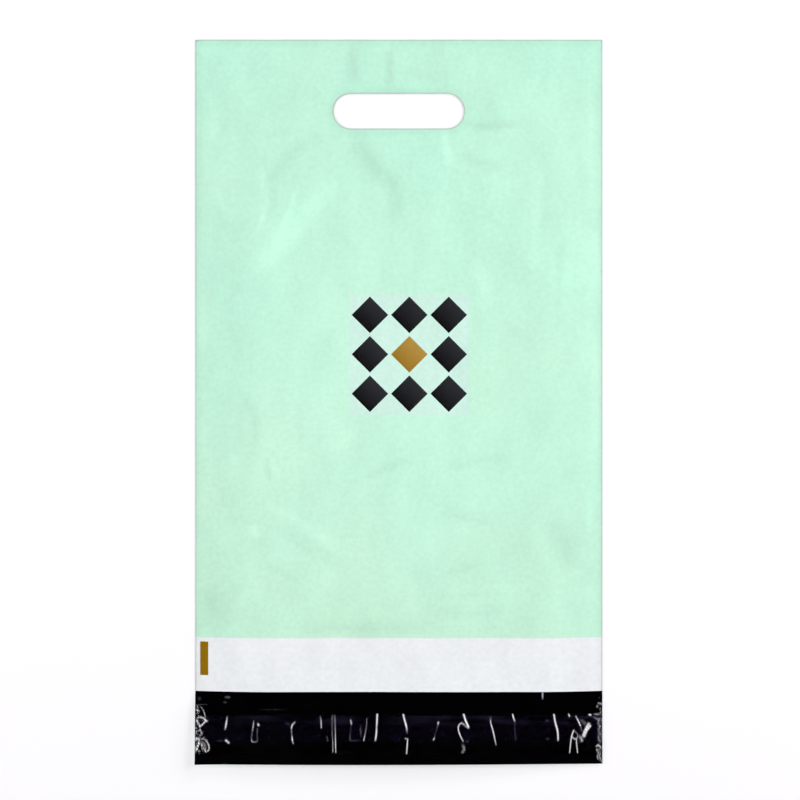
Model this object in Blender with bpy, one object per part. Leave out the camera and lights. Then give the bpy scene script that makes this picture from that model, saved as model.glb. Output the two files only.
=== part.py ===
"""Poly mailer bag, empty and lying flat with its front up.

One web of co-extruded film, white outside and black inside, is folded across at the closed end and
welded down both long sides, so the two panels make a pocket that is open at the mouth. The back
panel runs on past the mouth as the closing flap, which lies open and shows its black inside. A
strip of hot-melt adhesive crosses the flap under a clear release liner, whose puckers stand up
where the liner was laid on slack. A hand slot is cut through both panels near the fold.

+X runs across the bag, +Y towards the closed end, and the bag lies on z = 0.
"""

import math

import bmesh
import bpy
from mathutils import Vector

# The bag, in metres
BAG_WIDTH = 0.280
PANEL_LENGTH = 0.448
FLAP_LENGTH = 0.050
FILM = 0.00008
SIDE_WELD = 0.0010

# How far the air inside holds the front panel off the back one, and how far in it comes to that
POCKET_LOFT = 0.0064
MOUTH_LOFT = 0.0057
SIDE_SHOULDER = 0.050
FOLD_SHOULDER = 0.150
WAVE_HEIGHT = 0.00022
WAVE_LENGTH = 0.085

# How far the middle of the flap's free end curls off the table, and how far its left edge turns up
FLAP_CURL = 0.0060
FLAP_EDGE_CURL = 0.0025
FLAP_EDGE_REACH = 0.022

# The hand slot, from the fold to its near edge
HANDLE_LENGTH = 0.090
HANDLE_HEIGHT = 0.024
HANDLE_INSET = 0.0372
HANDLE_ARC_STEPS = 12

# The front's print: the bare band at the mouth, the register mark and the emblem's lattice
BARE_BAND = 0.037
MARK_WIDTH = 0.0056
MARK_LENGTH = 0.0231
MARK_FROM_SIDE = 0.0039
MARK_BELOW_PRINT = 0.0029
EMBLEM_SIZE = 0.081
EMBLEM_RIGHT = 0.0072
EMBLEM_FROM_FOLD = 0.2166
LOZENGES_ACROSS = 3

# The closure: each strip's distance is from the flap's free end to its nearer edge
ADHESIVE_WIDTH = 0.018
ADHESIVE_FROM_END = 0.015
ADHESIVE_THICKNESS = 0.00012
LINER_WIDTH = 0.027
LINER_FROM_END = 0.0074
LINER_THICKNESS = 0.00006
STRIP_SIDE_GAP = 0.0006
SEAT_GAP = 0.0003

# The liner's puckers, as shares of the bag's width from its left side
PUCKER_PLACES = (
    0.079, 0.150, 0.241, 0.312, 0.342, 0.386, 0.418, 0.447, 0.518,
    0.595, 0.658, 0.732, 0.784, 0.887, 0.921, 0.958,
)
PUCKER_HEIGHT = 0.0011
PUCKER_HALF_WIDTH = 0.0016
PUCKER_LEAN = 0.0030

# The liner's ends, which the side welds melted and crumpled
CRUMPLE_HEIGHT = 0.0012
CRUMPLE_REACH = 0.009
CRUMPLE_LENGTH = 0.008
CRUMPLE_STEPS = 5

# The spacing of the grids that the sheets are built on
FILM_CELL = 0.0165
FLAP_ROWS = 10
EDGE_COLUMNS = 4
STRIP_CELL = 0.014
LINER_ROWS = 8
CLOSEST_LINES = 0.00002

HALF_WIDTH = BAG_WIDTH / 2
FOLD_Y = (PANEL_LENGTH + FLAP_LENGTH) / 2
MOUTH_Y = FOLD_Y - PANEL_LENGTH
FLAP_END_Y = MOUTH_Y - FLAP_LENGTH
PRINT_END_Y = MOUTH_Y + BARE_BAND
MARK_LEFT = -HALF_WIDTH + MARK_FROM_SIDE
MARK_TOP = PRINT_END_Y - MARK_BELOW_PRINT
EMBLEM_Y = FOLD_Y - EMBLEM_FROM_FOLD
LOZENGE = EMBLEM_SIZE / LOZENGES_ACROSS
HANDLE_Y = FOLD_Y - HANDLE_INSET - HANDLE_HEIGHT / 2

# The film's four faces, from the table up
BACK_OUTSIDE, BACK_INSIDE, FRONT_INSIDE, FRONT_OUTSIDE = range(4)

# Name, colour (linear), roughness, transmission
FINISHES = (
    ("mint_print", (0.578, 0.930, 0.735), 0.42, 0.0),
    ("white_film", (0.825, 0.850, 0.890), 0.40, 0.0),
    ("gold_print", (0.270, 0.150, 0.004), 0.42, 0.0),
    ("black_film", (0.002, 0.002, 0.002), 0.34, 0.0),
    ("emblem_field", (0.640, 0.905, 0.790), 0.42, 0.0),
    ("emblem_black", (0.008, 0.008, 0.010), 0.38, 0.0),
    ("hot_melt", (0.500, 0.480, 0.400), 0.30, 0.8),
    ("clear_liner", (0.900, 0.900, 0.900), 0.12, 0.9),
)
FINISH_INDEX = {finish[0]: index for index, finish in enumerate(FINISHES)}


def clear_scene():
    for item in list(bpy.data.objects):
        bpy.data.objects.remove(item, do_unlink=True)


def finish(name):
    """The Principled material of one finish."""
    made = bpy.data.materials.get(name)
    if made:
        return made
    _, colour, roughness, transmission = FINISHES[FINISH_INDEX[name]]
    made = bpy.data.materials.new(name)
    made.use_nodes = True
    made.diffuse_color = (*colour, 1.0)
    shader = made.node_tree.nodes["Principled BSDF"]
    shader.inputs["Base Color"].default_value = (*colour, 1.0)
    shader.inputs["Roughness"].default_value = roughness
    shader.inputs["Metallic"].default_value = 0.0
    shader.inputs["Transmission Weight"].default_value = transmission
    return made


def add_object(name, mesh, finishes):
    """Turns a bmesh into a named object that carries these finishes."""
    data = bpy.data.meshes.new(name)
    mesh.to_mesh(data)
    mesh.free()
    for each in finishes:
        data.materials.append(finish(each))
    made = bpy.data.objects.new(name, data)
    bpy.context.scene.collection.objects.link(made)
    return made


def grid_lines(low, high, step, kept=()):
    """Lines from low to high: the kept ones, and even ones between them at most step apart."""
    marks = [low]
    for mark in sorted(kept):
        if marks[-1] + CLOSEST_LINES < mark < high - CLOSEST_LINES:
            marks.append(mark)
    marks.append(high)
    lines = []
    for start, end in zip(marks, marks[1:]):
        count = max(1, math.ceil((end - start) / step))
        lines += [start + (end - start) * k / count for k in range(count)]
    return lines + [high]


def nearest(lines, value):
    """The index of the line closest to value."""
    return min(range(len(lines)), key=lambda k: abs(lines[k] - value))


def share_of(distance, run):
    """distance as a share of run, kept between 0 and 1."""
    return min(max(distance / run, 0.0), 1.0)


def swell(distance, run):
    """0 at a weld, 1 from run inwards, steepest at the weld."""
    return 1 - (1 - share_of(distance, run)) ** 2


def ease(distance, run):
    """0 at the fold, 1 from run inwards, level at both, because the fold is pressed flat."""
    share = share_of(distance, run)
    return share**2 * (3 - 2 * share)


def curl(x, y):
    """Height of the film's underside. The flap arches up towards the middle of its free end, more on
    the left than on the right, and its left edge turns up. The rest is flat.
    """
    down = share_of(MOUTH_Y - y, FLAP_LENGTH)
    across = math.pi * x / BAG_WIDTH
    arch = 0.2 * (1 - math.sin(across)) + 0.8 * math.cos(0.93 * across)
    outward = 1 - share_of(x + HALF_WIDTH, FLAP_EDGE_REACH)
    edge = FLAP_EDGE_CURL * outward**2 * ease(MOUTH_Y - y, FLAP_LENGTH / 3)
    return FLAP_CURL * down**2.5 * arch + edge


def loft(x, y):
    """Height of the pocket between the two panels."""
    side = swell(HALF_WIDTH - SIDE_WELD - abs(x), SIDE_SHOULDER)
    end = ease(FOLD_Y - FILM - y, FOLD_SHOULDER)
    along = share_of(y - MOUTH_Y, PANEL_LENGTH)
    crown = MOUTH_LOFT + (POCKET_LOFT - MOUTH_LOFT) * math.sin(math.pi * along)
    turn = 2 * math.pi / WAVE_LENGTH
    waves = math.sin(turn * (0.8 * x + 0.45 * y)) + math.sin(turn * (0.7 * y - 0.5 * x) + 1.3)
    return side * end * (crown + WAVE_HEIGHT * waves)


def layer_height(layer, x, y):
    """Height of one of the film's four faces."""
    height = curl(x, y)
    if layer != BACK_OUTSIDE:
        height += FILM
    if layer in (FRONT_INSIDE, FRONT_OUTSIDE):
        height += loft(x, y)
    if layer == FRONT_OUTSIDE:
        height += FILM
    return height


def emblem_lines(centre):
    """Grid lines through the lozenges' tips and middles."""
    count = 2 * LOZENGES_ACROSS
    return [centre + (k - LOZENGES_ACROSS) * LOZENGE / 2 for k in range(count + 1)]


def print_at(x, y):
    """The finish of the front at a cell's middle, apart from the emblem."""
    if y > PRINT_END_Y:
        return "mint_print"
    on_mark = MARK_LEFT < x < MARK_LEFT + MARK_WIDTH and MARK_TOP - MARK_LENGTH < y < MARK_TOP
    return "gold_print" if on_mark else "white_film"


def lozenge_split(corners, column, row):
    """Cuts a lattice cell along the lozenge's edge. Returns (three corners, finish) twice."""
    middle = LOZENGES_ACROSS // 2
    centred = column // 2 == middle and row // 2 == middle
    fill = "gold_print" if centred else "emblem_black"
    inner = (2 if row % 2 == 0 else 1) if column % 2 == 0 else (3 if row % 2 == 0 else 0)
    ring = [corners[(inner + k) % 4] for k in range(4)]
    return ((ring[3], ring[0], ring[1]), fill), ((ring[1], ring[2], ring[3]), "emblem_field")


def bag_film():
    """The whole web as one closed solid: four faces on one grid, joined at its rims."""
    weld = HALF_WIDTH - SIDE_WELD
    lattice_x = emblem_lines(EMBLEM_RIGHT)
    lattice_y = emblem_lines(EMBLEM_Y)
    mark_x = (MARK_LEFT, MARK_LEFT + MARK_WIDTH)
    mark_y = (MARK_TOP, MARK_TOP - MARK_LENGTH)
    edge_x = [mark_x[1] + FLAP_EDGE_REACH * k / EDGE_COLUMNS for k in range(1, EDGE_COLUMNS)]
    flap_y = [FLAP_END_Y + FLAP_LENGTH * k / FLAP_ROWS for k in range(1, FLAP_ROWS)]
    xs = grid_lines(-HALF_WIDTH, HALF_WIDTH, FILM_CELL, (-weld, weld, *mark_x, *edge_x, *lattice_x))
    kept_y = (*flap_y, MOUTH_Y, PRINT_END_Y, *mark_y, *lattice_y, FOLD_Y - FILM)
    ys = grid_lines(FLAP_END_Y, FOLD_Y, FILM_CELL, kept_y)
    columns = len(xs) - 1
    rows = len(ys) - 1
    mouth = nearest(ys, MOUTH_Y)
    left = nearest(xs, -weld)
    right = nearest(xs, weld)
    inner_fold = nearest(ys, FOLD_Y - FILM)
    first_column = nearest(xs, lattice_x[0])
    first_row = nearest(ys, lattice_y[0])
    mesh = bmesh.new()
    points = {}

    def at(layer, i, j):
        """The vertex of one face. The two inside faces share theirs where the pocket closes."""
        closed = i in (left, right) or j == inner_fold
        if layer == FRONT_INSIDE and closed:
            layer = BACK_INSIDE
        if (layer, i, j) not in points:
            place = (xs[i], ys[j], layer_height(layer, xs[i], ys[j]))
            points[layer, i, j] = mesh.verts.new(place)
        return points[layer, i, j]

    def cell(layer, i, j):
        """A cell's corners, counted so that its face looks up."""
        return [at(layer, i, j), at(layer, i + 1, j), at(layer, i + 1, j + 1), at(layer, i, j + 1)]

    def face(corners, name):
        mesh.faces.new(corners).material_index = FINISH_INDEX[name]

    def wall(low, high, start, end):
        """A rim face between two layers, from one grid point to the next."""
        name = "black_film" if low == FRONT_INSIDE else "white_film"
        face((at(low, *start), at(low, *end), at(high, *end), at(high, *start)), name)

    for j in range(rows):
        for i in range(columns):
            fused = not left <= i < right or j >= inner_fold
            flap = j < mouth
            face(cell(BACK_OUTSIDE, i, j)[::-1], "mint_print")
            if flap or not fused:
                face(cell(BACK_INSIDE, i, j), "black_film")
            if flap:
                continue
            if not fused:
                face(cell(FRONT_INSIDE, i, j)[::-1], "black_film")
            corners = cell(FRONT_OUTSIDE, i, j)
            column = i - first_column
            row = j - first_row
            if 0 <= column < 2 * LOZENGES_ACROSS and 0 <= row < 2 * LOZENGES_ACROSS:
                for three, name in lozenge_split(corners, column, row):
                    face(three, name)
            else:
                face(corners, print_at((xs[i] + xs[i + 1]) / 2, (ys[j] + ys[j + 1]) / 2))
    for j in range(rows):
        wall(BACK_OUTSIDE, BACK_INSIDE, (columns, j), (columns, j + 1))
        wall(BACK_OUTSIDE, BACK_INSIDE, (0, j + 1), (0, j))
        if j >= mouth:
            wall(BACK_INSIDE, FRONT_OUTSIDE, (columns, j), (columns, j + 1))
            wall(BACK_INSIDE, FRONT_OUTSIDE, (0, j + 1), (0, j))
    for i in range(columns):
        wall(BACK_OUTSIDE, BACK_INSIDE, (i, 0), (i + 1, 0))
        wall(BACK_OUTSIDE, BACK_INSIDE, (i + 1, rows), (i, rows))
        wall(BACK_INSIDE, FRONT_OUTSIDE, (i + 1, rows), (i, rows))
        lip = FRONT_INSIDE if left <= i < right else BACK_INSIDE
        wall(lip, FRONT_OUTSIDE, (i, mouth), (i + 1, mouth))
    bmesh.ops.triangulate(mesh, faces=mesh.faces[:], quad_method="BEAUTY")
    web = add_object("bag_film", mesh, [finish[0] for finish in FINISHES[:6]])
    cut = web.modifiers.new("hand_slot", "BOOLEAN")
    cut.operation = "DIFFERENCE"
    cut.solver = "EXACT"
    cut.object = handle_cutter()
    return web


def handle_cutter():
    """A stadium that passes through both panels."""
    radius = HANDLE_HEIGHT / 2
    straight = HANDLE_LENGTH / 2 - radius
    reach = POCKET_LOFT + MOUTH_LOFT
    mesh = bmesh.new()
    outline = []
    for side in (1, -1):
        for k in range(HANDLE_ARC_STEPS + 1):
            angle = side * math.pi / 2 * (-1 + 2 * k / HANDLE_ARC_STEPS)
            x = side * (straight + radius * math.cos(angle))
            outline.append(mesh.verts.new((x, HANDLE_Y + radius * math.sin(angle), -reach)))
    base = mesh.faces.new(outline)
    grown = bmesh.ops.extrude_face_region(mesh, geom=[base])["geom"]
    top = [item for item in grown if isinstance(item, bmesh.types.BMVert)]
    bmesh.ops.translate(mesh, verts=top, vec=(0, 0, 3 * reach))
    bmesh.ops.recalc_face_normals(mesh, faces=mesh.faces[:])
    cutter = add_object("hand_slot_cutter", mesh, ["mint_print"])
    cutter.hide_render = True
    cutter.display_type = "WIRE"
    return cutter


def strip(name, finish_name, lines_x, lines_y, underside, thickness):
    """A thin closed sheet on a grid. underside(x, y) gives the point for a crossing of two lines."""
    mesh = bmesh.new()
    columns = len(lines_x) - 1
    rows = len(lines_y) - 1
    low = [[mesh.verts.new(underside(x, y)) for y in lines_y] for x in lines_x]
    lift = Vector((0, 0, thickness))
    high = [[mesh.verts.new(point.co + lift) for point in line] for line in low]
    for i in range(columns):
        for j in range(rows):
            ring = ((i, j), (i + 1, j), (i + 1, j + 1), (i, j + 1))
            mesh.faces.new([high[a][b] for a, b in ring])
            mesh.faces.new([low[a][b] for a, b in reversed(ring)])
    rim = [(i, 0) for i in range(columns)] + [(columns, j) for j in range(rows)]
    rim += [(i, rows) for i in range(columns, 0, -1)] + [(0, j) for j in range(rows, 0, -1)]
    for (a, b), (c, d) in zip(rim, rim[1:] + rim[:1]):
        mesh.faces.new((low[a][b], low[c][d], high[c][d], high[a][b]))
    bmesh.ops.triangulate(mesh, faces=mesh.faces[:], quad_method="BEAUTY")
    return add_object(name, mesh, [finish_name])


def strip_side():
    """How far both strips reach either way, just inside the side welds."""
    return HALF_WIDTH - STRIP_SIDE_GAP


def adhesive_underside(x, y):
    return Vector((x, y, layer_height(BACK_INSIDE, x, y) + SEAT_GAP))


def adhesive_strip():
    low = FLAP_END_Y + ADHESIVE_FROM_END
    lines_x = grid_lines(-strip_side(), strip_side(), STRIP_CELL)
    lines_y = grid_lines(low, low + ADHESIVE_WIDTH, ADHESIVE_WIDTH / 2)
    return strip(
        "adhesive_strip", "hot_melt", lines_x, lines_y, adhesive_underside, ADHESIVE_THICKNESS
    )


def crest_x(place):
    """Where a pucker's crest crosses the liner's middle."""
    return -HALF_WIDTH + place * BAG_WIDTH


def pucker(x):
    """Height of the puckers before they lean: one ridge of cosine section at each place."""
    off = min(abs(x - crest_x(place)) for place in PUCKER_PLACES)
    return PUCKER_HEIGHT * (1 + math.cos(math.pi * share_of(off, PUCKER_HALF_WIDTH))) / 2


def pucker_lean(x, y):
    """Sideways shift of the liner round each pucker, which slants its crest. Each leans its own way."""
    up = (y - FLAP_END_Y - LINER_FROM_END) / LINER_WIDTH - 0.5
    shift = 0.0
    for index, place in enumerate(PUCKER_PLACES):
        beyond = abs(x - crest_x(place)) - PUCKER_HALF_WIDTH
        hold = 1 - ease(beyond, PUCKER_HALF_WIDTH)
        shift += PUCKER_LEAN * up * hold * math.sin(2.4 * index + 1)
    return shift


def crumple(x, y):
    """Height of the crumpled ends: ripples along the weld that die out inwards."""
    inward = share_of(strip_side() - abs(x), CRUMPLE_REACH)
    turn = 2 * math.pi / CRUMPLE_LENGTH
    ripples = math.sin(turn * (y + 0.3 * x)) + math.sin(1.7 * turn * (x - 0.4 * y))
    return CRUMPLE_HEIGHT * (1 - inward) ** 0.7 * (0.5 + 0.25 * ripples)


def liner_underside(x, y):
    """A point of the liner: over the adhesive, raised and slanted by its puckers and crumples."""
    seat = adhesive_underside(x, y)
    over = ADHESIVE_THICKNESS + SEAT_GAP + max(pucker(x), crumple(x, y))
    return seat + Vector((pucker_lean(x, y), 0, over))


def release_liner():
    low = FLAP_END_Y + LINER_FROM_END
    kept = []
    for place in PUCKER_PLACES:
        kept += [crest_x(place) + offset * PUCKER_HALF_WIDTH for offset in (-1, -0.5, 0, 0.5, 1)]
    for step in range(1, CRUMPLE_STEPS + 1):
        end = strip_side() - CRUMPLE_REACH * step / CRUMPLE_STEPS
        kept += [-end, end]
    lines_x = grid_lines(-strip_side(), strip_side(), STRIP_CELL, kept)
    lines_y = grid_lines(low, low + LINER_WIDTH, LINER_WIDTH / LINER_ROWS)
    return strip(
        "release_liner", "clear_liner", lines_x, lines_y, liner_underside, LINER_THICKNESS
    )


def main():
    clear_scene()
    bag_film()
    adhesive_strip()
    release_liner()


main()
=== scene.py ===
"""Poly mailer bag lying flat: the film, the adhesive and the puckered liner at full fineness."""

import math
from collections import namedtuple

import bpy
import numpy as np
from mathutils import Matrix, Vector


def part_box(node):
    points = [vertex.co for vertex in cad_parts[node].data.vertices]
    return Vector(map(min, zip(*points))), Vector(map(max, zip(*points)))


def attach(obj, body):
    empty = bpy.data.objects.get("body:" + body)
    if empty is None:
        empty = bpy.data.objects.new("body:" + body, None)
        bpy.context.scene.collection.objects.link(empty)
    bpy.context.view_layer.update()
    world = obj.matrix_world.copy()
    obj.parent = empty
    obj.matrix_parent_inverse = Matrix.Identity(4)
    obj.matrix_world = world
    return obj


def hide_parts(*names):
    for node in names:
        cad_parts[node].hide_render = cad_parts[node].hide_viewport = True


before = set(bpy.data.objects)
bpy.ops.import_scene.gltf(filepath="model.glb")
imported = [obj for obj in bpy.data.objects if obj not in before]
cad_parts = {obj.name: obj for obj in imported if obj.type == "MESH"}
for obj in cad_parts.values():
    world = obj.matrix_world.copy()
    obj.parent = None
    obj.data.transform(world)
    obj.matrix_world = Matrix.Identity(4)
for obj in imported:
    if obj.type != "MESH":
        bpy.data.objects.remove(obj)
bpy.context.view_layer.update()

# The web, in metres. Its outline comes from the frame.
FILM_LOW, FILM_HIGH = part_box("bag_film")
HALF_WIDTH = FILM_HIGH.x
FOLD_Y = FILM_HIGH.y
FLAP_END_Y = FILM_LOW.y
FLAP_LENGTH = 0.050
MOUTH_Y = FLAP_END_Y + FLAP_LENGTH
PANEL_LENGTH = FOLD_Y - MOUTH_Y
FILM = 0.00008
SIDE_WELD = 0.0010

# The air in the pocket, which holds the front panel up, and the panel's own waves and rumples.
# The welds hold the panel flat within SIDE_HOLD of them, and the fold within FOLD_HOLD.
POCKET_LOFT = 0.0064
MOUTH_LOFT = 0.0057
SIDE_SHOULDER = 0.050
FOLD_SHOULDER = 0.150
WAVE_HEIGHT = 0.00022
WAVE_LENGTH = 0.085
RUMPLE_HEIGHT = 0.0006
SIDE_HOLD = 0.03
FOLD_HOLD = 0.06

# How far the flap's free end curls up in its middle, how far its left edge turns up and from how
# far in, and the ripples that the hot knife left along its two side edges
FLAP_CURL = 0.0060
FLAP_EDGE_CURL = 0.0025
FLAP_EDGE_REACH = 0.022
EDGE_RIPPLE = 0.0005
EDGE_RIPPLE_REACH = 0.007

# The hand slot, the share by which the punch pressed the front panel down there, and how far out
HANDLE_LENGTH = 0.090
HANDLE_HEIGHT = 0.024
HANDLE_RADIUS = HANDLE_HEIGHT / 2
HANDLE_STRAIGHT = HANDLE_LENGTH / 2 - HANDLE_RADIUS
HANDLE_FROM_FOLD = 0.0372
HANDLE_Y = FOLD_Y - HANDLE_FROM_FOLD - HANDLE_RADIUS
SLOT_PRESSED = 0.75
SLOT_PRESSED_REACH = 0.036

# The front's print: the white band, the register mark, and the emblem's lattice of lozenges
WHITE_BAND = 0.037
PRINT_END_Y = MOUTH_Y + WHITE_BAND
MARK_WIDTH = 0.0056
MARK_LENGTH = 0.0231
MARK_FROM_SIDE = 0.0034
MARK_FROM_PRINT = 0.0029
MARK_LEFT = -HALF_WIDTH + MARK_FROM_SIDE
MARK_TOP = PRINT_END_Y - MARK_FROM_PRINT
EMBLEM_X = 0.0072
EMBLEM_FROM_FOLD = 0.2166
EMBLEM_Y = FOLD_Y - EMBLEM_FROM_FOLD
LOZENGE = 0.027
LOZENGE_FILL = 0.93
LATTICE_REACH = 1.5
FIELD_REACH = 1.53

# The closure strips, measured up from the flap's free end
ADHESIVE_FROM_END = 0.015
ADHESIVE_WIDTH = 0.018
ADHESIVE_THICKNESS = 0.00012
ADHESIVE_SWELL = 0.00006
LINER_FROM_END = 0.0074
LINER_WIDTH = 0.027
LINER_TOP_Y = FLAP_END_Y + LINER_FROM_END + LINER_WIDTH
LINER_THICKNESS = 0.00006
LINER_LIFT = 0.0002
LINER_SLACK = 0.00012
STRIP_HALF = HALF_WIDTH - 0.0006
SEAT_GAP = 0.0003

# The liner's two ends: how far in they are drawn out and crumpled, how far they are drawn, how high
# they crumple, and the least painted glint for which a cell of the liner takes the glint-painted
# finish
LEFT_DRAWN_REACH = 0.010
RIGHT_DRAWN_REACH = 0.005
LEFT_CRUMPLE_REACH = 0.0115
RIGHT_CRUMPLE_REACH = 0.0055
DRAWN_UP_LEFT = 0.0068
DRAWN_UP_RIGHT = 0.0082
DRAWN_DOWN_RIGHT = 0.0068
CRUMPLE_SCALE = 0.0022
CRUMPLE_HIGHEST = 0.0009
FAINTEST_GLINT_PAINT = 0.003

# The grids' spacings, and the collar of finer rings round the slot
SLOT_COLLAR = 0.014
PANEL_CELL = 0.0027
FLAP_CELL = 0.0016
EDGE_CELL = 0.0016
EDGE_BAND = 0.010
COLLAR_RINGS = 6
LINER_CLOSE = 0.00017
LINER_ROWS = 46


def share_of(distance, run):
    """distance / run, kept between 0 and 1."""
    return np.clip(distance / run, 0.0, 1.0)


def swell(distance, run):
    """1 - (1 - s)^2 with s the share of the run: steepest at the weld."""
    return 1 - (1 - share_of(distance, run)) ** 2


def ease(distance, run):
    """s^2 (3 - 2 s) with s the share of the run: level at both ends."""
    share = share_of(distance, run)
    return share**2 * (3 - 2 * share)


def curl(x, y):
    """Height of the web's underside, which is flat but for the flap.

    The flap rises as the way to its free end to the power 2.5, most in the middle and least at the
    right, and its left edge turns up as the square of the way outwards.
    """
    down = share_of(MOUTH_Y - y, FLAP_LENGTH)
    across = math.pi * x / (2 * HALF_WIDTH)
    arch = 0.2 * (1 - np.sin(across)) + 0.8 * np.cos(0.93 * across)
    outward = 1 - share_of(x + HALF_WIDTH, FLAP_EDGE_REACH)
    edge = FLAP_EDGE_CURL * outward**2 * ease(MOUTH_Y - y, FLAP_LENGTH / 3)
    return FLAP_CURL * down**2.5 * arch + edge


def rumple(x, y, longest, shortest, count, seed):
    """A sum of count sine waves of seeded direction and phase, lengths from longest to shortest."""
    draw = np.random.default_rng(seed)
    turn = draw.uniform(0, 2 * math.pi, count)
    phase = draw.uniform(0, 2 * math.pi, count)
    length = np.geomspace(longest, shortest, count)
    total = np.zeros_like(x)
    for k in range(count):
        along = x * math.cos(turn[k]) + y * math.sin(turn[k])
        total += np.sin(2 * math.pi * along / length[k] + phase[k]) * length[k] / longest
    return total / count


def slot_foot(x):
    """The nearest x on the slot's middle line, which runs between the centres of its arcs."""
    return np.clip(x, -HANDLE_STRAIGHT, HANDLE_STRAIGHT)


def out_of_slot(x, y):
    """Distance outwards from the slot's outline: that to its middle line, less the radius."""
    return np.hypot(x - slot_foot(x), y - HANDLE_Y) - HANDLE_RADIUS


def front_freedom(x, y):
    """How free the front panel is: 0 at the welds and at the fold, 1 well inside them."""
    return ease(HALF_WIDTH - SIDE_WELD - np.abs(x), SIDE_HOLD) * ease(FOLD_Y - FILM - y, FOLD_HOLD)


def loft(x, y):
    """Height of the pocket: a crown eased to the welds and the fold, with long and short waves.

    Round the slot, where the punch pressed the panels together, it is eased down.
    """
    side = swell(HALF_WIDTH - SIDE_WELD - np.abs(x), SIDE_SHOULDER)
    end = ease(FOLD_Y - FILM - y, FOLD_SHOULDER)
    along = share_of(y - MOUTH_Y, PANEL_LENGTH)
    crown = MOUTH_LOFT + (POCKET_LOFT - MOUTH_LOFT) * np.sin(math.pi * along)
    turn = 2 * math.pi / WAVE_LENGTH
    waves = np.sin(turn * (0.8 * x + 0.45 * y)) + np.sin(turn * (0.7 * y - 0.5 * x) + 1.3)
    body = side * end * (crown + WAVE_HEIGHT * waves)
    pressed = 1 - SLOT_PRESSED * (1 - ease(out_of_slot(x, y), SLOT_PRESSED_REACH))
    rumpled = front_freedom(x, y) * RUMPLE_HEIGHT * rumple(x, y, 0.060, 0.022, 9, 4)
    return pressed * (body + rumpled)


def lines_through(stops, cells):
    """Lines through every stop and evenly between, at most that stretch's cell apart."""
    stretches = [
        np.linspace(low, high, int(np.ceil((high - low) / cell)), endpoint=False)
        for low, high, cell in zip(stops, stops[1:], cells)
    ]
    return np.append(np.concatenate(stretches), stops[-1])


def stadium_point(x, y):
    """The point of the slot's outline nearest to x, y: one radius out from the middle line."""
    foot = slot_foot(x)
    away = np.hypot(x - foot, y - HANDLE_Y)
    return (
        foot + (x - foot) * HANDLE_RADIUS / away,
        HANDLE_Y + (y - HANDLE_Y) * HANDLE_RADIUS / away,
    )


def grid_cells(number):
    """The corners of every cell of a numbered grid, in an array one shorter each way."""
    return np.stack([number[:-1, :-1], number[:-1, 1:], number[1:, 1:], number[1:, :-1]], axis=-1)


def grid_outline(number):
    """The numbers round a numbered grid's outline, back to the first one."""
    return np.concatenate(
        [number[0, :-1], number[:-1, -1], number[-1, :0:-1], number[:0:-1, 0], number[0, :1]]
    )


class Plan:
    """The web seen from above: a grid whose cells round the slot are a collar of rings."""

    def __init__(self):
        collar_x = HANDLE_LENGTH / 2 + SLOT_COLLAR
        collar_y = HANDLE_RADIUS + SLOT_COLLAR
        band = HALF_WIDTH - EDGE_BAND
        weld = HALF_WIDTH - SIDE_WELD
        xs = lines_through(
            [-HALF_WIDTH, -weld, -band, -collar_x, collar_x, band, weld, HALF_WIDTH],
            [SIDE_WELD, EDGE_CELL, PANEL_CELL, PANEL_CELL, PANEL_CELL, EDGE_CELL, SIDE_WELD],
        )
        ys = lines_through(
            [FLAP_END_Y, MOUTH_Y, HANDLE_Y - collar_y, HANDLE_Y + collar_y, FOLD_Y - FILM, FOLD_Y],
            [FLAP_CELL, PANEL_CELL, PANEL_CELL, PANEL_CELL, FILM],
        )
        number = self.number = np.arange(len(xs) * len(ys)).reshape(len(ys), len(xs))
        flat_x, flat_y = (part.ravel() for part in np.meshgrid(xs, ys))
        left, right = np.searchsorted(xs, [-collar_x - FILM, collar_x - FILM])
        low, high = np.searchsorted(ys, [HANDLE_Y - collar_y - FILM, HANDLE_Y + collar_y - FILM])
        cells = grid_cells(number)
        whole = np.ones(cells.shape[:2], bool)
        whole[low:high, left:right] = False
        around = grid_outline(number[low : high + 1, left : right + 1])[:-1]
        edge_x, edge_y = stadium_point(flat_x[around], flat_y[around])
        inward = (np.arange(1, COLLAR_RINGS + 1) / COLLAR_RINGS)[:, None] ** 0.8
        ring_x = flat_x[around] + (edge_x - flat_x[around]) * inward
        ring_y = flat_y[around] + (edge_y - flat_y[around]) * inward
        ring = number.size + np.arange(ring_x.size).reshape(ring_x.shape)
        ring = np.vstack([around, ring])
        collar = grid_cells(np.hstack([ring, ring[:, :1]])).reshape(-1, 4)
        self.quads = np.vstack([cells[whole], collar])
        self.x = np.append(flat_x, ring_x)
        self.y = np.append(flat_y, ring_y)
        self.slot_rim = ring[-1]
        self.mouth = int(np.searchsorted(ys, MOUTH_Y - FILM))
        self.weld_columns = np.searchsorted(xs, [-weld - FILM, weld - FILM])
        self.fold_row = int(np.searchsorted(ys, FOLD_Y - 1.5 * FILM))


def wall(low, high, line):
    """Rim faces between two layers along a line of points, whose right side they face."""
    return np.stack([low[line[:-1]], low[line[1:]], high[line[1:]], high[line[:-1]]], axis=1)


def put_in(name, data):
    """A new object with this data, in the scene."""
    thing = bpy.data.objects.new(name, data)
    bpy.context.scene.collection.objects.link(thing)
    return thing


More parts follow.
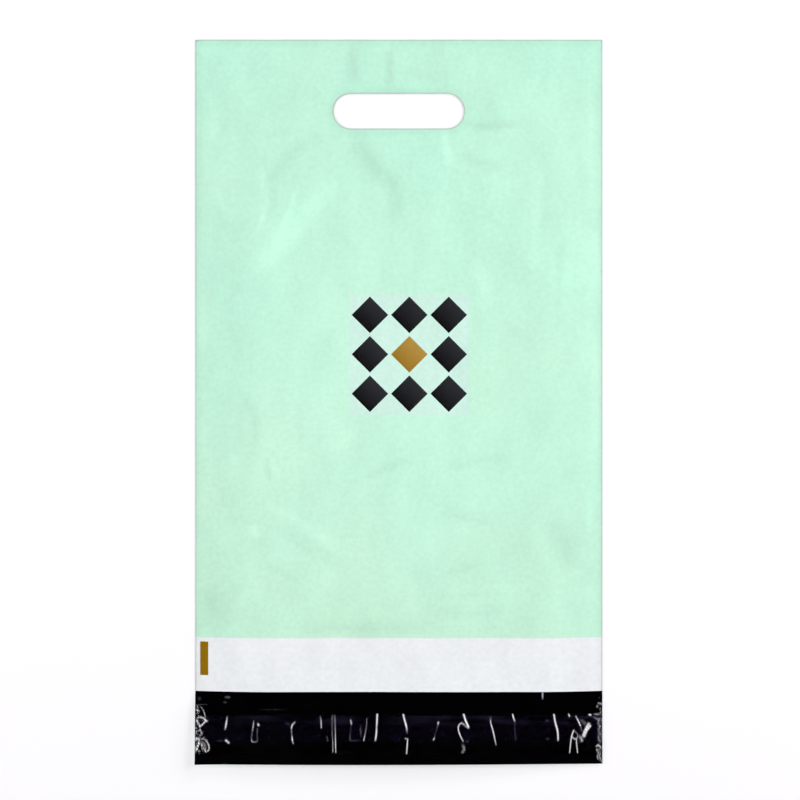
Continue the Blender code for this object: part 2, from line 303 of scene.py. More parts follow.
def new_piece(name, points, quads, finish_numbers, finishes):
    """A mesh object from arrays. Points that no face uses are dropped; sharp rims stay sharp."""
    used, flat = np.unique(quads, return_inverse=True)
    points = points[used]
    quads = flat.reshape(quads.shape)
    mesh = bpy.data.meshes.new(name)
    mesh.vertices.add(len(points))
    mesh.vertices.foreach_set("co", points.astype(np.float32).ravel())
    mesh.loops.add(quads.size)
    mesh.loops.foreach_set("vertex_index", quads.astype(np.int32).ravel())
    mesh.polygons.add(len(quads))
    mesh.polygons.foreach_set("loop_start", np.arange(0, quads.size, 4, dtype=np.int32))
    mesh.update(calc_edges=True)
    for finish in finishes:
        mesh.materials.append(finish)
    mesh.polygons.foreach_set("material_index", finish_numbers.astype(np.int32))
    mesh.shade_smooth()
    mesh.set_sharp_from_angle(angle=math.radians(50))
    mesh.validate()
    return put_in(name, mesh), used


def paint(piece, label, values):
    """Gives each of the piece's points a value that its materials can read."""
    attribute = piece.data.attributes.new(label, "FLOAT", "POINT")
    attribute.data.foreach_set("value", values.astype(np.float32))


def smooth_path(points, steps=8):
    """A Catmull-Rom curve through the points, with this many steps in each stretch."""
    knots = np.array([points[0], *points, points[-1]])
    before, start = knots[:-3, None], knots[1:-2, None]
    end, after = knots[2:-1, None], knots[3:, None]
    t = (np.arange(steps) / steps)[None, :, None]
    curve = start + 0.5 * t * (
        (end - before)
        + t * (2 * before - 5 * start + 4 * end - after)
        + t**2 * (3 * (start - end) + after - before)
    )
    return np.vstack([curve.reshape(-1, 2), knots[-1:]])


def near_path(stops, reach, across, down):
    """The places within reach of a smooth path.

    Returns which ones they are, how far off it they are and how far along it, both in millimetres,
    and how far along it each stop is.
    """
    path = smooth_path(stops)
    low, high = path.min(axis=0) - reach, path.max(axis=0) + reach
    near = (across > low[0]) & (across < high[0]) & (down > low[1]) & (down < high[1])
    place = np.stack([across[near], down[near]], axis=-1)[:, None]
    step = np.diff(path, axis=0)
    length = np.linalg.norm(step, axis=1)
    share = np.clip(((place - path[:-1]) * step).sum(axis=-1) / length**2, 0.0, 1.0)
    away = np.linalg.norm(place - path[:-1] - share[..., None] * step, axis=-1)
    closest = away.argmin(axis=1)
    rows = np.arange(len(closest))
    start = np.append(0, np.cumsum(length))
    along = start[closest] + share[rows, closest] * length[closest]
    return near, away[rows, closest], along, start[:: len(step) // (len(stops) - 1)]


def rows_of(kind, *rows):
    """A list of this kind of tuple, one from each row."""
    return [kind(*row) for row in rows]


# A soft wrinkle of the front panel, in millimetres: its height, half its width, its painted
# shading, which film_skin_group paints into the colour as light above 0 and as shade below 0 along
# the wrinkle, and its path, across from the bag's left side and down from the fold.
Wrinkle = namedtuple("Wrinkle", "height half_width tone path")
WRINKLES = rows_of(
    Wrinkle,
    (-0.6, 10, -1.7, ((112, 60), (115, 77), (125, 91), (136, 102), (137, 113), (132, 129))),
    (-0.4, 7, -1.9, ((108, 2), (108, 17), (111, 33))),
    (-0.4, 5, -1.9, ((133, 5), (134, 17), (134, 34))),
    (0.3, 7, -0.7, ((145, 22), (159, 24), (173, 30))),
    (0.4, 5, 2.0, ((171, 60), (172, 73), (175, 88))),
    (-0.3, 4.5, -1.8, ((184, 58), (202, 60), (223, 57))),
    (-0.4, 7, -1.4, ((181, 78), (195, 86), (212, 88))),
    (0.3, 3, 1.0, ((183, 95), (185, 104), (188, 114))),
    (-0.5, 9, -1.4, ((88, 66), (70, 75), (56, 91), (52, 110), (53, 128))),
    (0.3, 3.2, 1.6, ((44, 88), (48, 103), (48, 118), (41, 137))),
    (0.35, 3.6, 1.4, ((74, 91), (67, 113), (61, 129), (57, 144))),
    (0.6, 14, 1.5, ((97, 95), (77, 118), (55, 144), (31, 169))),
    (0.3, 4, 0.8, ((12, 96), (19, 115), (30, 128))),
    (-0.3, 6, -0.7, ((35, 5), (39, 17), (38, 30))),
    (-0.3, 5, -0.8, ((46, 67), (59, 64), (72, 60))),
    (0.3, 7, 0.8, ((8, 35), (13, 49), (12, 75))),
    (0.4, 10, 1.3, ((190, 153), (198, 169), (199, 187))),
    (-0.3, 5, -0.6, ((93, 129), (104, 140), (115, 153))),
    (0.25, 3, 0.7, ((270, 16), (272, 62), (271, 121))),
    (-0.25, 5, -0.7, ((252, 132), (249, 165), (249, 202))),
    (-0.25, 5, -0.7, ((201, 119), (209, 128), (218, 132))),
    (0.25, 4, 0.5, ((231, 75), (234, 110), (231, 153))),
    (-0.2, 4, -0.5, ((241, 68), (242, 103), (238, 144))),
    (-0.35, 6, -0.9, ((35, 246), (41, 265), (39, 288))),
    (-0.3, 5, -0.8, ((70, 250), (72, 268), (74, 283))),
    (-0.25, 3.2, -1.3, ((48, 288), (50, 296), (52, 304))),
    (0.25, 3.2, 1.3, ((52, 288), (55, 296), (57, 303))),
    (-0.25, 4, -0.7, ((13, 292), (20, 287), (27, 282))),
    (-0.35, 4, -1.1, ((115, 303), (132, 295), (151, 288))),
    (-0.3, 4, -0.9, ((168, 292), (180, 294), (194, 290), (218, 287))),
    (-0.35, 4, -1.0, ((169, 325), (187, 330), (205, 334))),
    (0.3, 6, 0.7, ((46, 319), (71, 332), (88, 344), (106, 355))),
    (-0.3, 7, -0.8, ((50, 332), (75, 349), (106, 366))),
    (0.4, 6, 1.9, ((37, 334), (41, 339), (46, 342))),
    (-0.3, 4, -0.9, ((169, 368), (181, 365), (195, 361))),
    (-0.6, 14, -1.7, ((243, 330), (252, 347), (260, 365))),
    (-0.3, 4, -0.7, ((46, 359), (57, 366), (72, 373))),
    (-0.2, 5, -0.6, ((168, 394), (190, 396), (216, 392))),
    (0.2, 4, 0.4, ((152, 380), (185, 378), (224, 377))),
    (0.2, 4, 0.4, ((155, 387), (187, 387), (221, 385))),
    (0.2, 3, 0.6, ((270, 307), (271, 344))),
    (-0.3, 9, -1.2, ((72, 405), (128, 406), (162, 405))),
    (-0.3, 12, -1.2, ((7, 375), (14, 392), (24, 405))),
    (0.3, 8, 0.6, ((88, 283), (103, 275), (114, 264))),
)


def wrinkled(x, y):
    """Height of the wrinkles and the light and shade painted along them: each a raised cosine of
    the distance to its path.

    Along the path each one rises and sinks as the root of a sine. Where they cross they add up.
    """
    across, down = (x + HALF_WIDTH) * 1000, (FOLD_Y - y) * 1000
    height, tone = np.zeros_like(x), np.zeros_like(x)
    for wrinkle in WRINKLES:
        near, away, along, stops = near_path(wrinkle.path, wrinkle.half_width, across, down)
        section = (1 + np.cos(math.pi * np.minimum(away / wrinkle.half_width, 1))) / 2
        shape = section * np.sqrt(np.sin(math.pi * along / stops[-1]).clip(0))
        height[near] += wrinkle.height / 1000 * shape
        tone[near] += wrinkle.tone * shape
    return height * front_freedom(x, y), tone


def edge_ripple(x, y):
    """Height that the hot knife's puckering adds to the flap's two side edges."""
    inward = (1 - share_of(HALF_WIDTH - np.abs(x), EDGE_RIPPLE_REACH)) ** 1.5
    on_flap = ease(MOUTH_Y - y, 0.006)
    turn = 2 * math.pi * y
    ripples = 1 + 0.6 * np.sin(turn / 0.0062) + 0.4 * np.sin(turn / 0.0037 + x)
    return EDGE_RIPPLE * inward * on_flap * ripples


def flap_top(x, y):
    """Height of the flap's inside face."""
    return curl(x, y) + edge_ripple(x, y) + FILM


def mailer_film(finishes):
    """The whole web as one closed sheet: four faces over one plan, joined at its rims.

    z = curl for the underside, plus the film's thickness for the back panel's inside, plus the
    loft for the front panel's inside, plus the thickness again for its outside.
    """
    plan = Plan()
    x, y = plan.x, plan.y
    floor = curl(x, y) + edge_ripple(x, y)
    wrinkle, tone = wrinkled(x, y)
    pocket = loft(x, y) + wrinkle
    heights = [floor, floor + FILM, floor + FILM + pocket, floor + 2 * FILM + pocket]
    points = np.concatenate([np.stack([x, y, z], axis=1) for z in heights])
    back_outside, back_inside, front_inside, front_outside = (
        np.arange(len(x)) + layer * len(x) for layer in range(4)
    )
    left, right = plan.weld_columns
    grid = plan.number
    shut = np.concatenate([grid[:, left], grid[:, right], grid[plan.fold_row]])
    front_inside[shut] = back_inside[shut]
    middle_x = x[plan.quads].mean(axis=1)
    middle_y = y[plan.quads].mean(axis=1)
    flap = middle_y < MOUTH_Y
    fused = (np.abs(middle_x) > HALF_WIDTH - SIDE_WELD) | (middle_y > FOLD_Y - FILM)
    printed_front, printed_back, black, cut = range(4)
    turned = [0, 3, 2, 1]
    faces = [
        (back_outside[plan.quads][:, turned], printed_back),
        (back_inside[plan.quads[flap | ~fused]], black),
        (front_inside[plan.quads[~flap & ~fused]][:, turned], black),
        (front_outside[plan.quads[~flap]], printed_front),
    ]
    upper = np.concatenate(
        [grid[plan.mouth : -1, -1], grid[-1, :0:-1], grid[: plan.mouth - 1 : -1, 0]]
    )
    slot = np.append(plan.slot_rim, plan.slot_rim[0])[::-1]
    lip = grid[plan.mouth]
    rims = [
        (back_outside, back_inside, grid_outline(grid)),
        (back_inside, front_outside, upper),
        (back_outside, back_inside, slot),
        (front_inside, front_outside, slot),
        (back_inside, front_outside, lip[: left + 1]),
        (front_inside, front_outside, lip[left : right + 1]),
        (back_inside, front_outside, lip[right:]),
    ]
    faces += [(wall(*rim), cut) for rim in rims]
    quads = np.vstack([part for part, _ in faces])
    numbers = np.concatenate([np.full(len(part), number) for part, number in faces])
    piece, used = new_piece("mailer_film", points, quads, numbers, finishes)
    from_sides = np.minimum(HALF_WIDTH - np.abs(x), np.abs(out_of_slot(x, y)))
    from_cut = np.minimum(from_sides, FOLD_Y - y)
    on_front = np.repeat([0, 0, 0, 1], len(x))
    paint(piece, "from_cut", np.tile(from_cut, 4)[used])
    # The light and shade painted along the wrinkles, on the front's outside only
    paint(piece, "tone", (np.tile(tone, 4) * on_front)[used])
    return piece


# A raised fold of the liner, in millimetres: its height, half its width, how strongly a glint is
# painted white along its crease, in all or at each of its stops, and its path, across from the
# bag's left side and down from the liner's upper edge.
Fold = namedtuple("Fold", "height half_width shine path")
PUCKERS = rows_of(
    Fold,
    (0.7, 0.8, (0.35, 0.95, 0.6), ((22.1, 1.8), (21.4, 6.6), (20.6, 10.7))),
    (0.6, 1.1, (0.8, 0.75), ((21.1, 18.0), (23.2, 19.7))),
    (0.3, 0.7, (0.08, 0.14), ((14.6, 18.3), (18.7, 18.3))),
    (0.5, 0.5, (0.35, 0.8, 0.2, 0.3, 0.65, 0.4, 0.25, 0.2, 0.3),
     ((40.3, 4.9), (40.0, 8.0), (39.3, 12.8), (38.8, 16.9), (39.1, 18.7), (41.1, 19.0),
      (42.9, 18.6), (42.6, 14.9), (42.8, 10.1))),
    (0.6, 0.85, 1, ((43.2, 6.9), (43.6, 8.0))),
    (0.7, 0.6, (0.6, 1, 0.35, 0.3, 1, 0.3),
     ((68.8, 5.4), (66.5, 8.3), (66.3, 11.4), (66.5, 14.2), (66.8, 17.3), (67.7, 20.7))),
    (0.4, 0.8, (0.22, 0.18), ((63.2, 6.8), (64.3, 7.2))),
    (0.5, 0.65, (0.2, 0.6, 0.7), ((85.9, 1.4), (86.6, 5.6), (86.7, 9.7))),
    (0.3, 0.6, (0.15, 0.2), ((90.4, 14.9), (91.1, 18.3))),
    (0.7, 0.5, (0.3, 0.22, 0.3, 0.4, 0.6),
     ((94.5, 0.8), (94.3, 5.9), (94.2, 12.8), (94.6, 18.3), (94.8, 25.9))),
    (0.7, 0.5, (0.35, 0.4, 0.55, 0.85, 0.8),
     ((95.9, 0.8), (96.2, 5.9), (96.4, 12.8), (96.5, 18.3), (96.8, 26.2))),
    (0.5, 0.65, (0.5, 0.85), ((106.8, 3.9), (107.4, 7.0))),
    (0.3, 0.6, (0.12, 0.1, 0.28), ((107.4, 7.3), (106.6, 12.8), (106.4, 17.6))),
    (0.3, 0.5, (0.18, 0.14, 0.08), ((106.6, 18.0), (110.7, 18.2), (113.4, 17.9))),
    (0.3, 0.5, (0.15, 0.22, 0.15), ((113.9, 7.6), (113.7, 12.1), (114.1, 15.6))),
    (0.4, 0.55, (0.3, 0.3, 0.35, 0.9), ((118.0, 3.2), (117.7, 8.7), (116.9, 13.5), (115.9, 18.0))),
    (0.8, 0.9, (1, 1, 0.6, 0.9, 0.85),
     ((125.2, -0.7), (124.9, 5.9), (124.7, 8.7), (124.6, 12.8), (123.9, 18.0))),
    (0.8, 0.9, (0.8, 1, 1, 0.45, 0.2),
     ((142.8, -0.7), (143.8, 3.9), (145.0, 8.0), (145.5, 11.1), (145.7, 13.2))),
    (0.5, 0.6, 0.6, ((144.2, 16.7), (146.5, 17.2))),
    (0.7, 0.6, (0.7, 1, 0.7), ((146.0, 17.5), (145.7, 21.8), (145.3, 27.3))),
    (0.5, 0.8, (0.7, 0.6), ((167.2, 5.6), (166.9, 7.4))),
    (0.3, 0.5, (0.3, 0.1, 0.3), ((166.9, 7.4), (165.4, 12.8), (164.1, 16.6))),
    (0.5, 0.7, (0.55, 0.65), ((164.4, 16.3), (163.7, 17.9))),
    (0.8, 0.95, (0.9, 1, 1), ((184.3, -0.4), (185.8, 4.5), (188.0, 9.4))),
    (0.6, 0.6, (1, 0.5, 0.7, 0.85, 0.9, 0.8, 0.6),
     ((188.0, 9.8), (185.5, 8.3), (183.6, 6.3), (181.4, 7.6), (180.8, 10.4), (182.0, 14.5),
      (184.1, 18.7))),
    (0.6, 1.5, (0.3, 0.35, 0.28), ((183.7, 21.1), (184.7, 23.8), (183.4, 26.6))),
    (0.3, 0.6, (0.3, 0.25), ((186.7, 18.7), (187.4, 19.1))),
    (0.7, 0.6, (0.2, 0.8, 0.9, 1, 0.4),
     ((203.3, 2.5), (203.1, 5.9), (204.6, 11.4), (205.5, 15.2), (206.7, 21.4))),
    (0.6, 0.7, (0.9, 1, 0.5), ((218.1, -0.7), (218.7, 2.5), (219.8, 5.4))),
    (0.3, 0.5, (0.15, 0.12, 0.2), ((219.8, 5.9), (219.7, 12.1), (220.6, 18.0))),
    (0.3, 0.7, (0.15, 0.2), ((241.1, 4.7), (242.4, 4.8))),
    (0.3, 0.7, (0.12, 0.2), ((241.1, 16.9), (242.9, 17.2))),
    (0.8, 0.9, (0.9, 1, 1, 0.9), ((246.4, -0.7), (247.5, 5.9), (249.1, 12.1), (249.4, 18.3))),
    (0.6, 0.75, (0.9, 0.95), ((256.6, -0.4), (257.3, 1.8))),
    (0.7, 0.65, (0.5, 0.8, 1), ((261.5, 1.5), (263.3, 5.0), (264.8, 8.1))),
    (0.4, 2.0, (0.18, 0.24), ((265.4, 4.3), (268.4, 7.3))),
    (0.4, 0.5, (0.4, 0.25), ((264.8, 8.1), (265.9, 12.1))),
    (0.6, 1.5, (0.35, 0.5, 0.3), ((263.9, 15.2), (265.7, 18.0), (264.8, 19.0))),
    (1.0, 1.8, (0.9, 1, 0.95), ((270.5, 7.2), (268.7, 11.4), (266.9, 15.6))),
    (0.9, 1.0, (0.9, 1), ((271.8, 8.1), (269.8, 10.7))),
    (0.8, 0.6, (0.9, 0.95, 0.9, 0.85),
     ((260.4, 11.2), (258.8, 14.9), (258.1, 19.7), (257.3, 26.9))),
    (0.8, 0.6, (0.7, 0.9, 0.85), ((262.0, 16.9), (262.2, 21.1), (262.8, 26.7))),
    (0.6, 0.5, (0.8, 0.9, 0.8, 0.9, 0.5, 0.35, 0.5),
     ((260.6, 11.3), (259.2, 13.5), (259.3, 16.0), (261.0, 17.2), (262.8, 16.0), (262.5, 13.5),
      (260.8, 12.3))),
    (0.6, 0.85, 1, ((270.8, 0.6), (272.0, 1.0))),
)
LEFT_CRUMPLES = rows_of(
    Fold,
    (0.5, 0.6, (0.5, 0.6, 0.5, 0.6), ((0.4, -5.8), (2.9, -6.2), (5.6, -2.7), (7.2, 2.1))),
    (0.9, 0.9, (0.85, 0.95), ((1.0, -3.4), (2.8, -2.0))),
    (0.9, 0.8, (0.8, 1, 1, 1, 1, 0.95, 0.8, 0.8),
     ((1.0, 3.0), (2.4, 6.3), (3.7, 8.0), (5.4, 6.8), (7.2, 4.5), (5.7, 2.8), (3.5, 1.9),
      (1.6, 2.6))),
    (0.9, 1.0, 1, ((7.1, 4.5), (8.3, 4.8))),
    (0.6, 0.55, (0.8, 0.5), ((3.4, 8.0), (3.7, 11.1))),
    (0.8, 0.65, (0.7, 0.7, 0.75, 0.6, 0.5),
     ((0.8, 14.3), (1.2, 11.7), (3.7, 11.2), (4.5, 13.5), (2.8, 15.2))),
    (0.9, 1.4, (0.9, 1, 0.8), ((0.3, 18.0), (1.4, 16.5), (3.0, 17.2))),
    (0.9, 0.65, (0.6, 0.65, 0.8, 0.95, 1),
     ((3.7, 16.5), (6.7, 17.2), (9.2, 20.4), (9.8, 23.8), (8.6, 25.3))),
    (0.7, 0.5, (0.5, 0.5, 0.75), ((4.2, 18.2), (6.3, 21.1), (7.6, 24.5))),
    (0.9, 0.65, (0.6, 0.75, 1), ((3.9, 19.4), (5.6, 22.8), (7.8, 25.8))),
    (0.5, 2.3, (0.3, 0.34), ((5.3, 19.4), (7.4, 22.5))),
    (0.9, 1.1, (0.95, 1, 1), ((2.8, 19.4), (2.1, 21.8), (0.9, 24.8))),
    (0.8, 1.2, 1, ((0.4, 22.0), (0.6, 24.9))),
    (0.6, 0.5, 0.8, ((3.5, 16.9), (2.7, 19.0))),
)
RIGHT_CRUMPLES = rows_of(
    Fold,
    (0.7, 0.8, (0.6, 0.9, 0.4), ((275.3, -4.0), (276.6, -6.5), (276.0, -8.0))),
    (0.5, 0.7, 0.8, ((277.7, -7.0), (279.4, -6.9))),
    (0.6, 0.7, (0.4, 0.6, 0.6), ((273.6, -0.1), (276.0, 0.4), (279.2, -0.3))),
    (0.6, 0.7, (0.3, 0.5, 0.5), ((273.9, 2.3), (276.7, 3.6), (279.2, 3.0))),
    (0.7, 0.7, (0.7, 0.35, 0.7, 0.35, 0.7, 0.4, 0.7),
     ((277.8, 3.9), (276.8, 6.3), (278.3, 8.7), (277.0, 11.2), (278.2, 13.5), (277.1, 16.3),
      (278.2, 19.0))),
    (0.5, 0.6, (0.6, 0.4, 0.6, 0.5), ((279.3, 3.9), (279.6, 9.4), (279.3, 13.5), (279.6, 19.0))),
    (0.7, 0.8, (0.6, 0.9, 0.7), ((275.5, 22.5), (277.2, 21.6), (279.3, 23.6))),
    (0.7, 0.8, (0.9, 0.6, 0.7, 0.8), ((276.0, 24.5), (277.1, 27.3), (276.3, 30.0), (277.4, 32.8))),
    (0.7, 0.7, (0.8, 0.7, 0.7, 0.7), ((278.6, 26.6), (277.8, 29.1), (279.3, 31.8), (278.7, 33.5))),
    (0.4, 2.2, 0.22, ((277.8, 4.5), (277.9, 19.7))),
    (0.4, 2.2, 0.32, ((277.8, 23.1), (277.9, 32.8))),
)
FOLDS = PUCKERS + LEFT_CRUMPLES + RIGHT_CRUMPLES


def fold_section(fold, across, down):
    """The fold's shape and painted glint: a raised cosine of the distance to its path.

    Along the path the shape is lower at the two ends, as the fourth root of a sine. The painted
    glint is the square of the shine, which runs from stop to stop and is broken by two waves.
    """
    near, away, along, stops = near_path(fold.path, fold.half_width, across, down)
    shape, white = np.zeros_like(across), np.zeros_like(across)
    section = (1 + np.cos(math.pi * np.minimum(away / fold.half_width, 1))) / 2
    shape[near] = section * (0.45 + 0.55 * np.sin(math.pi * along / stops[-1]).clip(0) ** 0.25)
    way = along + 7.3 * fold.path[0][0]
    broken = 0.92 + 0.16 * np.sin(3.1 * way) + 0.12 * np.sin(6.7 * way + 1)
    white[near] = np.interp(along, stops, fold.shine + np.zeros(len(stops))) * broken
    return shape, white**2 * shape**1.2


def raised_folds(x, y):
    """Height and painted glint of the liner's folds: at each place the tallest fold and the
    brightest painted glint.
    """
    across, down = (x + HALF_WIDTH) * 1000, (LINER_TOP_Y - y) * 1000
    height, white = np.zeros_like(x), np.zeros_like(x)
    for fold in FOLDS:
        shape, painted_glint = fold_section(fold, across, down)
        height = np.maximum(height, fold.height * shape / 1000)
        white = np.maximum(white, painted_glint)
    return height, white


def crumple_height(x, y, reach):
    """Sharp crossed folds, the absolute values of two rumples, that die out inwards."""
    weight = (1 - share_of(STRIP_HALF - np.abs(x), reach)) ** 0.8
    wide = np.abs(rumple(x, y, 0.0070, 0.0022, 7, 11))
    fine = np.abs(rumple(x, y, 0.0040, 0.0016, 6, 23))
    return weight * np.minimum(CRUMPLE_SCALE * (wide + 0.6 * fine), CRUMPLE_HIGHEST)


def strip_sheet(name, x, y, low, thickness, finishes, white=None):
    """A thin closed sheet between z = low and z = low + thickness over a grid of x and y.

    Where white, the glint painted along the folds, is given, the cells with some of it take the
    second finish.
    """
    number = np.arange(x.size).reshape(x.shape)
    cells = grid_cells(number).reshape(-1, 4)
    points = np.concatenate(
        [np.stack([x, y, low + level], axis=-1).reshape(-1, 3) for level in (0.0, thickness)]
    )
    layers = [np.arange(x.size), np.arange(x.size) + x.size]
    rim = wall(layers[0], layers[1], grid_outline(number))
    quads = np.vstack([cells[:, ::-1], layers[1][cells], rim])
    creased = np.zeros(len(quads))
    if white is not None:
        glint_cells = white.ravel()[cells].max(axis=1) > FAINTEST_GLINT_PAINT
        creased = np.concatenate([glint_cells, glint_cells, np.zeros(len(rim))])
    piece, _ = new_piece(name, points, quads, creased, finishes)
    if white is not None:
        paint(piece, "white", np.tile(white.ravel(), 2))
    return piece


def hot_melt_band(finish):
    """The adhesive: a band over the flap whose height swells and sinks a little."""
    low_y = FLAP_END_Y + ADHESIVE_FROM_END
    x, y = np.meshgrid(
        np.linspace(-STRIP_HALF, STRIP_HALF, 300), np.linspace(low_y, low_y + ADHESIVE_WIDTH, 20)
    )
    low = flap_top(x, y) + SEAT_GAP + ADHESIVE_SWELL * (1 + rumple(x, y, 0.012, 0.004, 6, 31))
    return strip_sheet("hot_melt_band", x, y, low, ADHESIVE_THICKNESS, [finish])


def liner_lines():
    """The liner's lines across x: close together where a fold passes, wide apart elsewhere."""
    dense = np.arange(-STRIP_HALF, STRIP_HALF, LINER_CLOSE)
    across = (dense + HALF_WIDTH) * 1000
    busy = np.zeros(len(dense), bool)
    for fold in FOLDS:
        path = np.array(fold.path)[:, 0]
        margin = fold.half_width + 0.3
        busy |= (across > path.min() - margin) & (across < path.max() + margin)
    kept = busy | (np.arange(len(dense)) % 6 == 0)
    return np.append(dense[kept], STRIP_HALF)


def liner_sheet(finishes):
    """The liner: over the adhesive's seat, raised by its folds and by its crumpled ends.

    Near each end its edges are drawn out lengthwise along the weld, as the square of the way up.
    """
    x, up = np.meshgrid(liner_lines(), np.linspace(0, 1, LINER_ROWS))
    y = FLAP_END_Y + LINER_FROM_END + LINER_WIDTH * up
    at_left = (1 - share_of(x + STRIP_HALF, LEFT_DRAWN_REACH)) ** 0.7
    at_right = (1 - share_of(STRIP_HALF - x, RIGHT_DRAWN_REACH)) ** 0.7
    at_end = np.maximum(at_left, at_right)
    y = y + DRAWN_UP_LEFT * at_left * up**2
    y = y + DRAWN_UP_RIGHT * at_right * up**2 - DRAWN_DOWN_RIGHT * at_right * (1 - up) ** 2
    seat = flap_top(x, y) + 2 * SEAT_GAP + ADHESIVE_THICKNESS + LINER_LIFT
    reach = np.where(x < 0, LEFT_CRUMPLE_REACH, RIGHT_CRUMPLE_REACH)
    # The folds' heights, and the glints painted white along them; at the crumpled ends the painted
    # glints are broken into speckles.
    height, white = raised_folds(x, y)
    speckle = (4.2 * np.abs(rumple(x, y, 0.0024, 0.0009, 8, 47)) - 0.05).clip(0.05, 1.4)
    white = white * (1 + (speckle - 1) * at_end.clip(0, 1) ** 0.5)
    over = np.maximum(height, crumple_height(x, y, reach))
    slack = LINER_SLACK * rumple(x, y, 0.020, 0.006, 6, 17) * (1 - 0.8 * at_end)
    return strip_sheet("liner_sheet", x, y, seat + over + slack, LINER_THICKNESS, finishes, white)


def feed(tree, socket, value):
    """Links a node's output to the socket, or sets the socket to a value."""
    if isinstance(value, bpy.types.NodeSocket):
        tree.links.new(value, socket)
    elif hasattr(value, "__len__") and len(value) == 3 and socket.type == "RGBA":
        socket.default_value = (*value, 1.0)
    else:
        socket.default_value = value


def feed_all(tree, node, **inputs):
    """Feeds the node's inputs of these names, where _ stands for a space."""
    for key, value in inputs.items():
        feed(tree, node.inputs[key.replace("_", " ")], value)


def node_of(tree, kind, settings=(), **inputs):
    """Adds a node, sets its properties, and feeds its named inputs."""
    node = tree.nodes.new(kind)
    for key, value in settings:
        setattr(node, key, value)
    feed_all(tree, node, **inputs)
    return node


def sums(tree, operation, *values):
    """A Math node's result for these values."""
    node = tree.nodes.new("ShaderNodeMath")
    node.operation = operation
    for socket, value in zip(node.inputs, values):
        feed(tree, socket, value)
    return node.outputs[0]


def blend_colour(tree, factor, first, second):
    """first where factor is 0 and second where it is 1."""
    node = tree.nodes.new("ShaderNodeMix")
    node.data_type = "RGBA"
    feed(tree, node.inputs[0], factor)
    feed(tree, node.inputs[6], first)
    feed(tree, node.inputs[7], second)
    return node.outputs[2]


def noise(tree, place, scale, detail):
    """A noise texture's value."""
    node = node_of(tree, "ShaderNodeTexNoise", Vector=place, Scale=scale, Detail=detail)
    return node.outputs["Fac"]


def painted(tree, label):
    """The value that paint gave the mesh under this label."""
    return node_of(tree, "ShaderNodeAttribute", [("attribute_name", label)]).outputs["Fac"]


def clamped(tree, value):
    """The value, kept between 0 and 1."""
    return node_of(tree, "ShaderNodeClamp", Value=value).outputs[0]


def ranged(tree, value, start, end, at_start=0.0, at_end=1.0, kind="SMOOTHSTEP"):
    """at_start where value is start or less, at_end where it is end or more, eased in between."""
    node = node_of(tree, "ShaderNodeMapRange", [("interpolation_type", kind)], Value=value)
    feed_all(tree, node, From_Min=start, From_Max=end, To_Min=at_start, To_Max=at_end)
    return node.outputs["Result"]


def beyond_cell(tree, value):
    """How far value lies beyond the nearest whole number."""
    return sums(tree, "SUBTRACT", value, sums(tree, "ROUND", value))


def inside(tree, value, low, high):
    """1 where value lies between low and high."""
    above = sums(tree, "GREATER_THAN", value, low)
    below = sums(tree, "LESS_THAN", value, high)
    return sums(tree, "MULTIPLY", above, below)


def object_place(tree):
    """The Object coordinates, and their X and Y."""
    place = tree.nodes.new("ShaderNodeTexCoord").outputs["Object"]
    parts = node_of(tree, "ShaderNodeSeparateXYZ", Vector=place)
    return place, parts.outputs["X"], parts.outputs["Y"]


def new_finish(name, **values):
    """A Principled material with these uniform values. Returns (material, tree, shader)."""
    made = bpy.data.materials.new(name)
    made.use_nodes = True
    tree = made.node_tree
    shader = tree.nodes["Principled BSDF"]
    feed_all(tree, shader, **values)
    return made, tree, shader


def new_group(name, inputs, outputs):
    """An empty shader node group with these sockets. Returns (group, in, out)."""
    group = bpy.data.node_groups.new(name, "ShaderNodeTree")
    kinds = {"Colour": "NodeSocketColor", "Normal": "NodeSocketVector"}
    for way, labels in (("INPUT", inputs), ("OUTPUT", outputs)):
        for label in labels:
            kind = kinds.get(label, "NodeSocketFloat")
            group.interface.new_socket(label, in_out=way, socket_type=kind)
    return group, group.nodes.new("NodeGroupInput"), group.nodes.new("NodeGroupOutput")


# The colours, in linear light
MINT = (0.580, 0.945, 0.742)
WHITE = (0.915, 0.940, 0.970)
GOLD = (0.300, 0.152, 0.0004)
# The lighter end of the sheen painted across the emblem's gold lozenge
GOLD_PAINTED_SHEEN = (0.47, 0.28, 0.055)
BLACK_INK = (0.003, 0.003, 0.004)
# The lighter end of the sheen painted across the emblem's black lozenges
BLACK_PAINTED_SHEEN = (0.026, 0.027, 0.031)
FIELD = (0.640, 0.910, 0.800)
EDGE_GREY = (0.42, 0.50, 0.46)
BLACK_FILM = (0.0003, 0.0002, 0.0007)
# The pale colour of the glints painted on the bare flap
GLINT_PAINT = (0.78, 0.73, 0.90)
# The white of the glints painted along the liner's creases
LINER_GLINT_PAINT = (0.93, 0.92, 0.93)
# The adhesive's violet black, its lighter ripples and its lighter streaks near the top, a sheen
# painted into its colour
MELT_DARK = (0.0018, 0.0007, 0.0085)
MELT_LIGHT = (0.010, 0.004, 0.028)
MELT_PAINTED_SHEEN = (0.044, 0.034, 0.076)

# How cloudy the prints and the bare film are, their roughness, and the pebbles' strength
PRINT_CLOUD = 0.18
PRINT_ROUGHNESS = 0.20
BARE_CLOUD = 0.15
BLACK_ROUGHNESS = 0.22
CUT_ROUGHNESS = 0.5
PEBBLE = 0.25

# How much lighter one step of a wrinkle's painted shading makes the colour
PAINTED_SHADING_STEP = 0.052

# How strong the grey of a cut or welded edge is, and how wide
RIM_STRENGTH = 0.8
RIM_WIDTH = 0.0011

